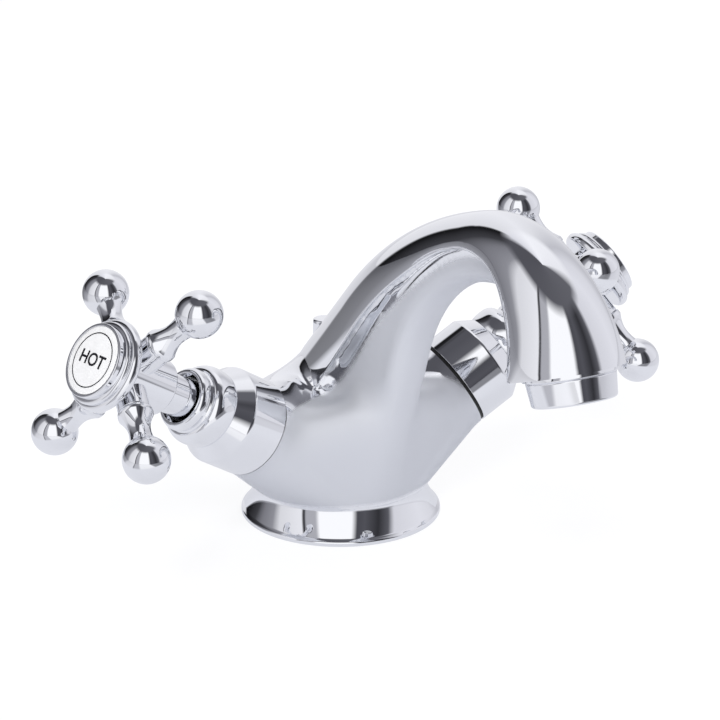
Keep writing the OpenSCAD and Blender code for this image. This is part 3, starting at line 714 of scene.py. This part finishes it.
def satin_weight(p):
    """1 on the faces under the spout that are left satin, 0 on the mirror-polished rest. The
    satin ends at the ridge, reaches round the arms below it, and leaves a strip along the lip."""
    under = UNDER_ARM * ramp(UNDER_END - p.z, 0, UNDER_END - UNDER_FULL)
    behind = BEHIND_Y * (p.y - RIDGE_Y) + BEHIND_X * (abs(p.x) - RIDGE_X)
    front = ramp(under - behind, -0.5, 1) * ramp(p.z, FOOT_H, FOOT_H + 1)
    if front == 0:
        return 0
    here = Vector((p.y, p.z))
    away, depth = min(((point - here).length, depth) for point, depth in CREST_POINTS)
    return front * ramp(away - depth, LIP_FROM, LIP_FULL)


def spout_skin():
    """The spout in its true outline. Near its root it sinks into the blended casting."""
    start, level, sunk = 4, 16, 0.6
    rings = []
    for i in range(SKIN_RINGS + 1):
        s = mix(start, CREST + TRIM, i / SKIN_RINGS)
        rings.append(spout_ring(s, SKIN_INSET + sunk * (1 - ramp(s, start, level))))
    return lofted("spout skin", rings)


def make_casting():
    """The casting above its foot, undrilled."""
    parts = casting_parts()
    select_only(*parts)
    bpy.ops.object.join()
    casting = bpy.context.object
    casting.name = "casting"
    apply_modifier(casting, "REMESH", mode="VOXEL", voxel_size=VOXEL * MM)
    apply_modifier(casting, "SMOOTH", factor=0.5, iterations=LIGHT_SMOOTHING)
    soften = casting.vertex_groups.new(name="blend")
    for vertex in casting.data.vertices:
        weight = fillet_weight(vertex.co / MM)
        if weight > 0:
            soften.add([vertex.index], weight, "REPLACE")
    apply_modifier(casting, "SMOOTH", factor=0.5, iterations=BLEND_SMOOTHING, vertex_group="blend")
    cut(casting, spout_skin(), "UNION")
    for side in ("hot", "cold"):
        cut(casting, disc(ARM_SAW_D, BOSS_AT, BOSS_AT + 2 * TRIM, arm_place(side)))
    cut(casting, disc(OUTLET_SAW_D, 0, 2 * TRIM, AT_OUTLET))
    return casting


# Foot and bores

FLARE_EDGE = 0.8
FLARE_POWER = 1.7
AERATOR_BORE_D, AERATOR_BORE_DEPTH = 20, 9
STUD_D, STUD_DEPTH, STUD_Y = 8, 16, -14
ROD_Y = 8.5
ROD_HOLE_D, KNOB_HOLE_D, KNOB_FLOOR, ROD_TOP = 4.6, 7, 47.1, 64
INLET_X, INLET_Y, INLET_D, INLET_DEPTH = 8.5, -3.19, 10, 12
VALVE_HOLE_D, VALVE_DEPTH = 20.9, 14
GROOVE_IN, GROOVE_OUT, GROOVE_DEPTH = 20.45, 24.55, 2


def flare(z):
    """The foot's radius at a height of its sweep."""
    q = (FOOT_H - z) / (FOOT_H - FOOT_RIM)
    return mix(WAIST_D, FOOT_D - FLARE_EDGE, q ** FLARE_POWER) / 2


def make_foot():
    """The foot: an eased edge, then the sweep up to the waist."""
    heights = [mix(FOOT_RIM, FOOT_H, i / 30) for i in range(31)]
    sweep = [(flare(z), z) for z in heights]
    edge = rounded([(0, 0, 0), (FOOT_D / 2, 0, 0.3), (FOOT_D / 2, FOOT_RIM, 0.4),
                    (*sweep[2], 0)])
    return turned("foot", edge + sweep[3:] + [(0, FOOT_H)], 192)


def outlet_boss():
    """The round boss inside the spout's end that holds the aerator."""
    boss = turned("boss", rounded([(0, -12, 0), (10.6, -12, 0.2), (11.9, 1, 0.3), (0, 1, 0)]))
    place(boss, AT_OUTLET)
    return boss


def bores():
    """What is drilled and bored into the casting, each hole run a little past its mouth."""
    at_rod = Matrix.Translation((0, ROD_Y * MM, 0))
    tools = [
        disc(AERATOR_BORE_D, -AERATOR_BORE_DEPTH, 2, AT_OUTLET),
        disc(STUD_D, -1, STUD_DEPTH, Matrix.Translation((0, STUD_Y * MM, 0))),
        disc(ROD_HOLE_D, -1, ROD_TOP, at_rod),
        disc(KNOB_HOLE_D, KNOB_FLOOR, ROD_TOP, at_rod),
        turned("groove", [(GROOVE_IN, -1), (GROOVE_OUT, -1), (GROOVE_OUT, GROOVE_DEPTH),
                          (GROOVE_IN, GROOVE_DEPTH), (GROOVE_IN, -1)]),
    ]
    for side, x in (("hot", -INLET_X), ("cold", INLET_X)):
        tools.append(disc(VALVE_HOLE_D, BOSS_AT - VALVE_DEPTH, BOSS_AT + 1, arm_place(side)))
        inlet = Matrix.Translation(Vector((x, INLET_Y, 0)) * MM)
        tools.append(disc(INLET_D, -1, INLET_DEPTH, inlet))
    return tools


casting = make_casting()
cut(casting, make_foot(), "UNION")
cut(casting, outlet_boss(), "UNION")
for tool in bores():
    cut(casting, tool)
satin = casting.data.attributes.new("satin", "FLOAT", "POINT")
for vertex in casting.data.vertices:
    satin.data[vertex.index].value = satin_weight(vertex.co / MM)
polish(casting, 40)
hand_over(casting, "mixer", "chrome", CAST_CHROME, "body")

# Handles and shrouds

SHROUD_AT = BOSS_AT + 1
SHROUD_R = BOSS_D / 2
RIMS = {"hot": 0.75, "cold": 0.05}


def shroud(rim):
    """The sleeve. Its rim reaches over the seal, further on the side that is screwed down more."""
    return turned("shroud", [
        *rounded([(12, SHROUD_AT, 0), (13.12, SHROUD_AT, 0), (13.12, SHROUD_AT - rim, 0),
                  (SHROUD_R, SHROUD_AT - rim, 0.12), (SHROUD_R, 50.1, 0.5), (10.4, 54.5, 0)]),
        *bead(10.4, 54.5, 8.6, 61.5, 10.9)[1:],
        *rounded([(8.3, 61.9, 0), (8.3, 62.3, 0.2), (8.6, 63, 0)])[:-1],
        *[(7.325 + 1.275 * math.cos(math.radians(a)), 63.1 + 2 * math.sin(math.radians(a)))
          for a in range(0, 91, 6)],
        *rounded([(7.3, 65.1, 0), (6.95, 65.1, 0.2), (6.1, 63.9, 0.2), (6.1, 59.1, 0)])[1:],
        (6.65, 59.1), (6.65, 51.1), (12, 51.1), (12, SHROUD_AT),
    ])


def shroud_seal():
    """The thin ring between arm and shroud, its edge a little bulged."""
    inner, outer, middle = 11.6, 13, (BOSS_AT + SHROUD_AT) / 2
    return turned("seal", rounded([
        (inner, BOSS_AT, 0), (outer, BOSS_AT, 0.2), (outer + 0.1, middle, 0.4),
        (outer, SHROUD_AT, 0.2), (inner, SHROUD_AT, 0), (inner, BOSS_AT, 0)]))


def hub():
    """The hub with its neck and the four short bosses that hold the arms."""
    neck_r, hub_r, neck_end = 5.4, 7.6, 60.06
    socket_r, socket_end = 4.3, 12.4
    body = turned("hub", rounded([
        (0, neck_end, 0), (neck_r, neck_end, 0.3), (neck_r, HUB_BACK, 0.5), (hub_r, HUB_BACK, 0.6),
        (hub_r, HUB_FRONT, 0.3), (0, HUB_FRONT, 0)]))
    boss = turned("boss", rounded([(0, 2, 0), (socket_r, 2, 0), (socket_r, socket_end, 0.3),
                                   (0, socket_end, 0)]), 64)
    for k in range(4):
        arm = boss.copy()
        arm.data = boss.data.copy()
        bpy.context.collection.objects.link(arm)
        place(arm, Matrix.Rotation(k * math.pi / 2, 4, "Z") @ Matrix.Translation((0, 0, CROSS_AT * MM))
              @ Matrix.Rotation(math.pi / 2, 4, "Y"))
        cut(body, arm, "UNION")
    bpy.data.objects.remove(boss)
    return body


def cross_arm():
    """One arm along Z from the handle's axis: flared root, waist and ball in one piece."""
    root, rim, waist, ball_at = 12.4, 1.4, 18.742, 27.5
    ball_r, neck_r = 6.2, 3.4
    neck = ball_at - math.sqrt(ball_r ** 2 - neck_r ** 2)
    start = math.asin(neck_r / ball_r)
    flute = [(mix(5.8, 9.2, (1 - i / 14) ** 1.8) / 2, mix(root + rim, waist, i / 14))
             for i in range(1, 15)]
    rise = [(2.9 + 0.5 * (i / 8) ** 2, mix(waist, neck, i / 8)) for i in range(1, 8)]
    sphere = [(ball_r * math.sin(a), ball_at - ball_r * math.cos(a))
              for a in [mix(start, math.pi, i / 40) for i in range(41)]]
    stub = rounded([(0, 8.7, 0), (2, 8.7, 0), (2, root, 0), (4.6, root, 0.5), (4.6, root + rim, 0)])
    return turned("arm", stub + flute + rise + sphere, 96)


def index_cap():
    """The cap: two beads, then a rim round the disc's seat."""
    return turned("cap", [
        (0, 87.7), (4.45, 87.7), (4.45, HUB_FRONT),
        *bead(11.5, HUB_FRONT, 11, 93.7, 12.5),
        *bead(11, 93.9, 10, 95.1, 11.2, 0.4, 12),
        *rounded([(10, 95.2, 0), (10, 96.9, 0.4), (9.15, 96.9, 0.2), (9.15, 95.7, 0), (0, 95.7, 0)])[1:],
    ])


DISC_FACE = 97
LETTER_SIZE, LETTER_BOLD, LETTER_HALF = 4.8, 0.09, 0.05


def index_disc():
    """The glazed disc, its face a shallow dome."""
    r, back, edge, rise = 9.1, 95.72, 96.72, 0.28
    dome = [(r * math.sqrt(1 - (i / 16) ** 2), edge + rise * i / 16) for i in range(1, 17)]
    return turned("disc", [(0, back), (r, back), *dome])


def lettering(word):
    """The word for the water, plain capitals laid on the disc, in a thin round line."""
    bpy.ops.object.select_all(action="DESELECT")
    bpy.ops.object.text_add(location=(0, 0, 0))
    text = bpy.context.object
    text.data.body = word
    text.data.size = LETTER_SIZE * MM
    text.data.offset = LETTER_BOLD * MM
    text.data.extrude = LETTER_HALF * MM
    text.data.align_x = "CENTER"
    text.data.align_y = "CENTER"
    bpy.ops.object.convert(target="MESH")
    word_mesh = bpy.context.object
    line = turned("line", [(7.1, -0.15), (7.4, -0.15), (7.4, -0.06), (7.1, -0.05), (7.1, -0.15)])
    select_only(word_mesh, line)
    bpy.ops.object.join()
    return bpy.context.object


def upright(side):
    """The turn about the handle's axis that sets a word upright."""
    up = handle_place(side).to_3x3().inverted() @ Vector((0, 0, 1))
    return Matrix.Rotation(-math.atan2(up.x, up.y), 4, "Z")


def add_side(side):
    """Shroud, seal and handle of one side."""
    handle = side + "_handle"
    for made, piece, material, slot in (
        (shroud(RIMS[side]), "shroud", TURNED_CHROME, "chrome"),
        (shroud_seal(), "shroud_seal", RUBBER, "black_rubber"),
    ):
        made.name = side + "_" + piece + "_turned"
        place(made, arm_place(side))
        polish(made)
        hand_over(made, "mixer", slot, material, side + "_" + piece)
    for shape, piece, material, slot in (
        (hub, "hub", TURNED_CHROME, "chrome"),
        (index_cap, "index_cap", TURNED_CHROME, "chrome"),
        (index_disc, "index_disc", PORCELAIN, "white_glaze"),
    ):
        made = shape()
        made.name = side + "_" + piece + "_turned"
        place(made, handle_place(side))
        polish(made)
        hand_over(made, handle, slot, material, side + "_" + piece)
    arm = cross_arm()
    polish(arm)
    for k in range(4):
        copy = arm.copy()
        copy.data = arm.data.copy()
        bpy.context.collection.objects.link(copy)
        copy.name = side + "_arm_" + str(k + 1) + "_turned"
        place(copy, handle_place(side, math.pi + k * math.pi / 2)
              @ Matrix.Translation((0, 0, CROSS_AT * MM)) @ Matrix.Rotation(math.pi / 2, 4, "Y"))
        hand_over(copy, handle, "chrome", TURNED_CHROME, side + "_arm_" + str(k + 1))
    bpy.data.objects.remove(arm)
    word = lettering(side.upper())
    word.name = side + "_word"
    place(word, handle_place(side) @ upright(side) @ Matrix.Translation((0, 0, DISC_FACE * MM)))
    hand_over(word, handle, "black_rubber", ENAMEL)


for side in ("hot", "cold"):
    add_side(side)

# Aerator and knob

aerator = turned("aerator_housing_turned", rounded([
    (8.75, -8, 0), (9.95, -8, 0), (9.95, 1, 0), (10.8, 1, 0.1), (11.1, 1.4, 0.2), (10.5, 7, 0.3),
    (10.1, 7.4, 0.3), (7.95, 7.4, 0.2), (7.95, 6.4, 0), (8.75, 6.4, 0), (8.75, -8, 0)]))
place(aerator, AT_OUTLET)
polish(aerator)
hand_over(aerator, "mixer", "chrome", TURNED_CHROME, "aerator_housing")

knob = turned("lift_knob_turned", rounded([
    (0, 47.4, 0), (3.2, 47.4, 0.5), (3.2, 52.8, 0), (3.1, 54, 1.2), (0, 54, 0)], 10), 64)
place(knob, Matrix.Translation((0, ROD_Y * MM, 0)))
polish(knob)
hand_over(knob, "lift", "chrome", TURNED_CHROME, "lift_knob")

# Finishes of the frame's own solids

FINISH = {
    "valve_body": NICKEL, "seat_washer": RUBBER, "fixed_disc": ALUMINA, "moving_disc": ALUMINA,
    "spindle": BRASS, "spindle_seal": RUBBER, "spindle_clip": SPRING, "handle_screw": STEEL,
    "foot_seal": RUBBER, "aerator_washer": RUBBER, "aerator_insert": ACETAL, "aerator_mesh": ACETAL,
    "lift_rod": TURNED_CHROME,
}
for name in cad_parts:
    part = name.removeprefix("hot_").removeprefix("cold_")
    if part in FINISH:
        node = bpy.data.objects[name]
        node.data.materials.clear()
        node.data.materials.append(FINISH[part])

# Studio: a pale floor in a light tent of white panels. A tent's tones stand at headings in
# degrees, with 0 behind the object and 90 on its right.

PANELS = [
    (-180, "#505056"), (-170, "#48484E"), (-163, "#F8F8FA"), (-121, "#F8F8FA"), (-116, "#A8A8AE"),
    (-103, "#A8A8AE"), (-101, "#2C2C30"), (-99, "#2C2C30"), (-97, "#E4E4E8"), (-66, "#D4D4D8"),
    (-56, "#8C8C92"), (-40, "#77777D"), (-28, "#3C3C40"), (-9, "#141416"), (-6, "#18181A"),
    (-3, "#D8D8DC"), (30, "#E6E6EA"), (44, "#DCDCE0"), (64, "#BCBCC2"), (78, "#D4D4DA"), (100, "#DCDCE2"),
    (140, "#D0D0D6"), (148, "#57575D"), (162, "#303034"), (180, "#505056"),
]
CEILING = [
    (-180, "#5C5C62"), (-60, "#505056"), (-20, "#505056"), (-5, "#D8D8DE"), (30, "#F0F0F4"),
    (100, "#E6E6EA"), (125, "#606066"), (180, "#5C5C62"),
]


CEILING_FROM, CEILING_FULL = 0.76, 0.86
TABLE_NEAR, TABLE_FAR = 0.17, 0.21
TENT_STRENGTH = 1.15
TABLE_GLOW = 0.75


def by_heading(tree, axes, *tents):
    """The tones of the given tents by the heading that a direction or a place lies in."""
    turn = add_node(tree, "ShaderNodeMath", {0: axes["X"], 1: axes["Y"]}, operation="ARCTAN2")
    share = add_node(tree, "ShaderNodeMapRange", {"Value": turn.outputs[0],
                                                  "From Min": -math.pi, "From Max": math.pi})
    return [add_node(tree, "ShaderNodeValToRGB", {"Fac": share.outputs["Result"]},
                     [((a + 180) / 360, code) for a, code in tent]).outputs["Color"]
            for tent in tents]


def add_world():
    """White panels with dark gaps round the object, and a ceiling with a dark side."""
    world = bpy.data.worlds.new("light tent")
    bpy.context.scene.world = world
    world.use_nodes = True
    tree = world.node_tree
    out = tree.nodes["World Output"]
    back = tree.nodes["Background"]
    way = add_node(tree, "ShaderNodeTexCoord").outputs["Generated"]
    axes = add_node(tree, "ShaderNodeSeparateXYZ", {"Vector": way}).outputs
    panels, above = by_heading(tree, axes, PANELS, CEILING)
    height = add_node(tree, "ShaderNodeMapRange", {"Value": axes["Z"], "From Min": CEILING_FROM,
                                                   "From Max": CEILING_FULL})
    tent = add_node(tree, "ShaderNodeMix", {0: height.outputs["Result"], 6: panels, 7: above},
                    data_type="RGBA")
    path = add_node(tree, "ShaderNodeLightPath")
    seen = add_node(tree, "ShaderNodeMix", {0: path.outputs["Is Camera Ray"], 6: tent.outputs[2],
                                            7: (1, 1, 1, 1)}, data_type="RGBA")
    tree.links.new(seen.outputs[2], back.inputs["Color"])
    back.inputs["Strength"].default_value = TENT_STRENGTH
    tree.links.new(back.outputs["Background"], out.inputs["Surface"])


def add_floor():
    """A pale table. The camera sees it white with a trace of shadow, and polished metal sees it
    as a pale blue-grey near the object and in the panels' tones further out."""
    bpy.ops.object.select_all(action="DESELECT")
    bpy.ops.mesh.primitive_plane_add(size=6, location=(0, 0, -0.1 * MM))
    floor = bpy.context.object
    floor.name = "floor"
    material = bpy.data.materials.new("pale table")
    material.use_nodes = True
    tree = material.node_tree
    tree.nodes.clear()
    out = add_node(tree, "ShaderNodeOutputMaterial")
    place_on = add_node(tree, "ShaderNodeTexCoord").outputs["Object"]
    axes = add_node(tree, "ShaderNodeSeparateXYZ", {"Vector": place_on}).outputs
    panels = by_heading(tree, axes, PANELS)[0]
    reach = add_node(tree, "ShaderNodeVectorMath", {0: place_on}, operation="LENGTH")
    far = add_node(tree, "ShaderNodeMapRange", {"Value": reach.outputs["Value"],
                                                "From Min": TABLE_NEAR, "From Max": TABLE_FAR})
    table = add_node(tree, "ShaderNodeMix", {0: far.outputs["Result"], 6: linear("#E4E5EB"),
                                             7: panels}, data_type="RGBA")
    path = add_node(tree, "ShaderNodeLightPath")
    tone = add_node(tree, "ShaderNodeMix", {0: path.outputs["Is Camera Ray"],
                                            6: table.outputs[2], 7: (1.1, 1.1, 1.1, 1)},
                    data_type="RGBA", clamp_factor=True)
    seen = add_node(tree, "ShaderNodeMath", {0: path.outputs["Is Camera Ray"],
                                             1: path.outputs["Is Glossy Ray"]}, operation="MAXIMUM")
    share = add_node(tree, "ShaderNodeMath", {0: seen.outputs[0], 1: TABLE_GLOW},
                     operation="MULTIPLY")
    plain = add_node(tree, "ShaderNodeBsdfDiffuse", {"Color": linear("#E4E5EA")})
    glow = add_node(tree, "ShaderNodeEmission", {"Color": tone.outputs[2]})
    both = add_node(tree, "ShaderNodeMixShader", {0: share.outputs[0], 1: plain.outputs[0],
                                                  2: glow.outputs[0]})
    tree.links.new(both.outputs[0], out.inputs["Surface"])
    floor.data.materials.append(material)


def add_lamp(name, azimuth, elevation, distance, size, power):
    """A softbox that lights the object and doesn't show in its chrome."""
    a, e = math.radians(azimuth), math.radians(elevation)
    way = Vector((math.sin(a) * math.cos(e), math.cos(a) * math.cos(e), math.sin(e)))
    bpy.ops.object.light_add(type="AREA", location=way * distance + Vector((0, 0, 0.05)))
    lamp = bpy.context.object
    lamp.name = name
    lamp.data.shape = "RECTANGLE"
    lamp.data.size, lamp.data.size_y = size
    lamp.data.energy = power
    lamp.visible_glossy = False
    lamp.rotation_euler = way.to_track_quat("Z", "Y").to_euler()


add_camera()
add_world()
add_floor()
add_lamp("key softbox", -140, 42, 1.2, (0.45, 0.45), 9)
add_lamp("side softbox", 60, 35, 1.2, (0.5, 0.6), 6)
bpy.context.scene.view_settings.view_transform = "Standard"
